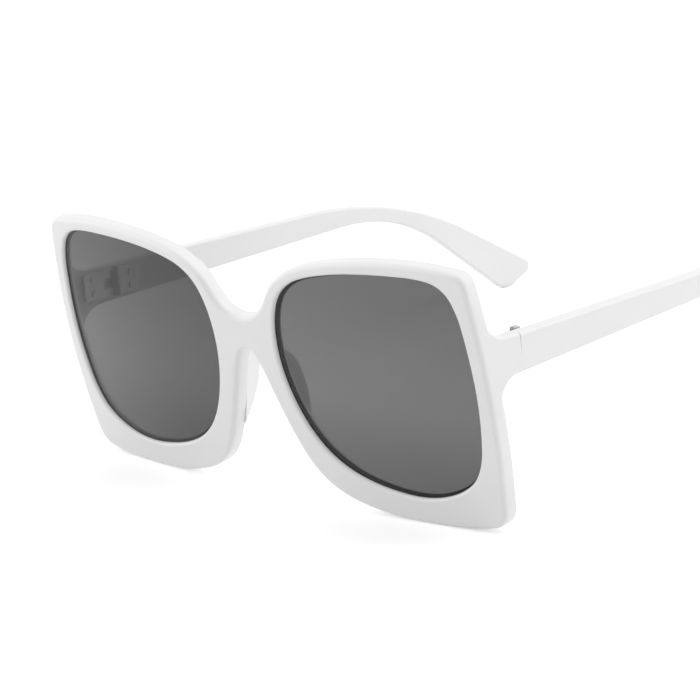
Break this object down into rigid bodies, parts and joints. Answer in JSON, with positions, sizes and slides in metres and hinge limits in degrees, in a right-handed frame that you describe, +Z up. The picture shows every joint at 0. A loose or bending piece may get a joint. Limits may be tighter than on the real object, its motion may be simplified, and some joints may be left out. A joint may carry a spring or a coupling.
{
  "type": "oversized sunglasses",
  "caption": "Oversized butterfly sunglasses: glossy white front with smoke lenses, wrap-round endpieces and temples that fold on screwed metal hinges.",
  "frame": {"origin": "middle of the footprint, on the surface that the glasses stand on", "axes": "+Z up, the front faces -Y, the open temples run back along +Y, the wearer's left side is +X"},
  "size_m": [0.1444, 0.1634, 0.0631],
  "materials": {
    "white_frame": "polished white moulded plastic",
    "white_pad": "polished white plastic pad",
    "smoke_lens": "polished grey smoke tint",
    "hinge_metal": "plain steel"
  },
  "bodies": {
    "front": {"front_frame": "white_frame", "left_lens": "smoke_lens", "left_nose_pad": "white_pad", "left_front_leaf": "hinge_metal", "left_front_leaf_screws": "hinge_metal", "left_hinge_screw": "hinge_metal", "right_lens": "smoke_lens", "right_nose_pad": "white_pad", "right_front_leaf": "hinge_metal", "right_front_leaf_screws": "hinge_metal", "right_hinge_screw": "hinge_metal"},
    "left_temple": {"left_temple": "white_frame", "left_temple_leaf": "hinge_metal", "left_temple_leaf_screws": "hinge_metal"},
    "right_temple": {"right_temple": "white_frame", "right_temple_leaf": "hinge_metal", "right_temple_leaf_screws": "hinge_metal"}
  },
  "joints": [
    {"name": "left_temple_fold", "type": "hinge", "parent": "front", "child": "left_temple", "pos_m": [0.0671, -0.06056, 0.0408], "axis": [-0.0067, 0.0792, 0.9968], "range_deg": [0, 82]},
    {"name": "right_temple_fold", "type": "hinge", "parent": "front", "child": "right_temple", "pos_m": [-0.0671, -0.06056, 0.0408], "axis": [-0.0067, -0.0792, -0.9968], "range_deg": [0, 90]}
  ]
}
